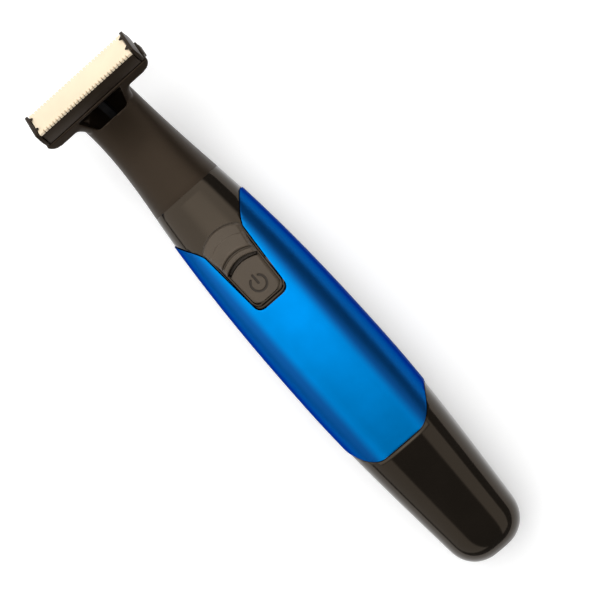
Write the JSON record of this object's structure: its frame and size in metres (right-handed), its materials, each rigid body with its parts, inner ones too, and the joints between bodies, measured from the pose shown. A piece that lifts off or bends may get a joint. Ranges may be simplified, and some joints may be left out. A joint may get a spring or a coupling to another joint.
{
  "type": "body groomer",
  "caption": "Cordless body groomer: slim tapered handle with a coloured grip cover, thumb slider, forward-bent neck and a T-shaped comb blade driven by a rocking lever.",
  "frame": {"origin": "bottom centre of the whole object as it lies on its back, switch up", "axes": "+X across the handle, +Y along the handle toward the head, +Z out of the switch side, up"},
  "size_m": [0.0336, 0.1578, 0.0278],
  "materials": {
    "gloss_black": "piano-black gloss moulding",
    "satin_black": "fine satin black moulding",
    "dark_grey": "satin dark grey moulding",
    "metallic_blue": "metallic blue lacquer under clear coat",
    "cream_coat": "hard cream coating on stamped steel",
    "steel": "ground stainless steel",
    "motor_steel": "zinc-plated drawn can",
    "nickel": "nickel strip",
    "board": "green solder mask",
    "cell_wrap": "shrink wrap",
    "white_plastic": "natural acetal",
    "black_acetal": "black acetal moulding",
    "rubber": "moulded silicone ring"
  },
  "bodies": {
    "handle": {"rear_shell": "gloss_black", "front_shell": "gloss_black", "grip_cover": "metallic_blue", "switch_bezel": "gloss_black", "circuit_board": "board", "slide_switch": "steel", "board_screw_lower": "steel", "board_screw_upper": "steel", "battery_cell": "cell_wrap", "battery_tab_negative": "nickel", "battery_tab_positive": "nickel", "charge_socket": "steel", "motor_can": "motor_steel", "motor_bracket": "white_plastic"},
    "slider": {"power_slider": "dark_grey", "slider_carrier": "white_plastic", "switch_nub": "white_plastic"},
    "rotor": {"motor_shaft": "steel", "eccentric_cam": "white_plastic"},
    "neck_unit": {"neck_shell": "satin_black", "neck_seal": "rubber", "lever_pivot_pin": "steel"},
    "lever": {"drive_lever": "black_acetal"},
    "blade_unit": {"blade_housing": "satin_black", "comb_plate": "cream_coat", "end_guard_left": "satin_black", "end_guard_right": "satin_black", "blade_spring_left": "steel", "blade_spring_right": "steel"},
    "cutter": {"moving_blade": "steel", "blade_carrier": "white_plastic"}
  },
  "joints": [
    {"name": "power_slide", "type": "slide", "parent": "handle", "child": "slider", "axis": [0, 1, 0], "range_m": [0, 0.0045]},
    {"name": "motor_spin", "type": "hinge", "parent": "handle", "child": "rotor", "pos_m": [0, 0.01613, 0.0083], "axis": [0, 1, 0], "continuous": true},
    {"name": "neck_pull", "type": "slide", "parent": "handle", "child": "neck_unit", "axis": [0, 1, 0], "range_m": [0, 0.018]},
    {"name": "lever_rock", "type": "hinge", "parent": "neck_unit", "child": "lever", "pos_m": [0, 0.04713, 0.0115], "axis": [0, 0, 1], "range_deg": [-1.85, 1.85]},
    {"name": "blade_lift", "type": "slide", "parent": "neck_unit", "child": "blade_unit", "axis": [0, 0.7071, 0.7071], "range_m": [0, 0.008]},
    {"name": "blade_slide", "type": "slide", "parent": "blade_unit", "child": "cutter", "axis": [1, 0, 0], "range_m": [-0.001, 0.001]}
  ],
  "couplings": [
    {"joint": "blade_slide", "follows": "lever_rock", "m_per_rad": -0.027993}
  ]
}
